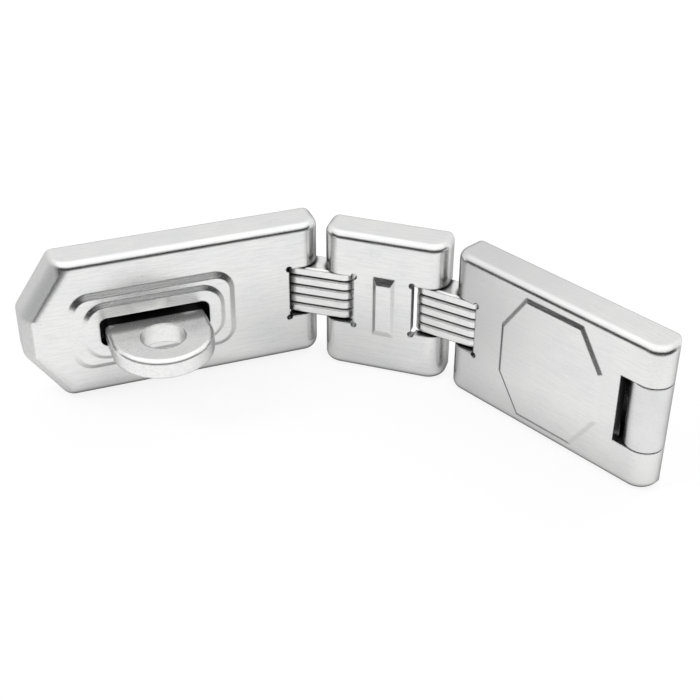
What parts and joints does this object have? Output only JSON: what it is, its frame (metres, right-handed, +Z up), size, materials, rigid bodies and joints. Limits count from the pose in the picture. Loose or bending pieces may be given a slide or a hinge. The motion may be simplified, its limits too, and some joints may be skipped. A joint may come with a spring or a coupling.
{
  "type": "hinge hasp",
  "caption": "Double-hinged steel hasp: pressed leaves joined by stacked links on hidden pins, a cover leaf on its screw plate, and a slotted leaf over a padlock staple.",
  "frame": {"origin": "centre of the base plate's back face, at half the height of the leaves", "axes": "+X along the cover leaf towards its barrel, +Y out of the mounting face, +Z up along the hinge pins"},
  "size_m": [0.15, 0.1033, 0.044],
  "materials": {
    "leaf_plating": "bright satin plating",
    "link_plating": "bright plating",
    "plate_plating": "dull plating",
    "pin_steel": "ground steel"
  },
  "bodies": {
    "base": {"base_plate": "plate_plating"},
    "cover": {"cover_leaf": "leaf_plating", "base_pin": "pin_steel", "cover_pin": "pin_steel"},
    "link_b": {"link_b_1": "link_plating", "link_b_2": "link_plating", "link_b_3": "link_plating", "link_b_4": "link_plating", "link_b_5": "link_plating"},
    "middle": {"middle_leaf": "leaf_plating", "middle_left_pin": "pin_steel", "middle_right_pin": "pin_steel"},
    "link_a": {"link_a_1": "link_plating", "link_a_2": "link_plating", "link_a_3": "link_plating", "link_a_4": "link_plating", "link_a_5": "link_plating"},
    "slotted": {"slotted_leaf": "leaf_plating", "slotted_pin": "pin_steel", "staple_plate": "plate_plating", "staple_eye": "leaf_plating"}
  },
  "joints": [
    {"name": "base_hinge", "type": "hinge", "parent": "base", "child": "cover", "pos_m": [0.03025, -0.0054, 0], "axis": [0, 0, 1], "range_deg": [0, 175]},
    {"name": "cover_link", "type": "hinge", "parent": "cover", "child": "link_b", "pos_m": [-0.02895, -0.0054, 0], "axis": [0, 0, 1], "range_deg": [-106, 74]},
    {"name": "link_middle", "type": "hinge", "parent": "link_b", "child": "middle", "pos_m": [-0.04279, -0.00937, 0], "axis": [0, 0, 1], "range_deg": [-102.6, 77.4]},
    {"name": "middle_link", "type": "hinge", "parent": "middle", "child": "link_a", "pos_m": [-0.06536, -0.02167, 0], "axis": [0, 0, -1], "range_deg": [-58.3, 91.7]},
    {"name": "link_slotted", "type": "hinge", "parent": "link_a", "child": "slotted", "pos_m": [-0.07779, -0.02894, 0], "axis": [0, 0, -1], "range_deg": [-23.7, 126.3]}
  ]
}
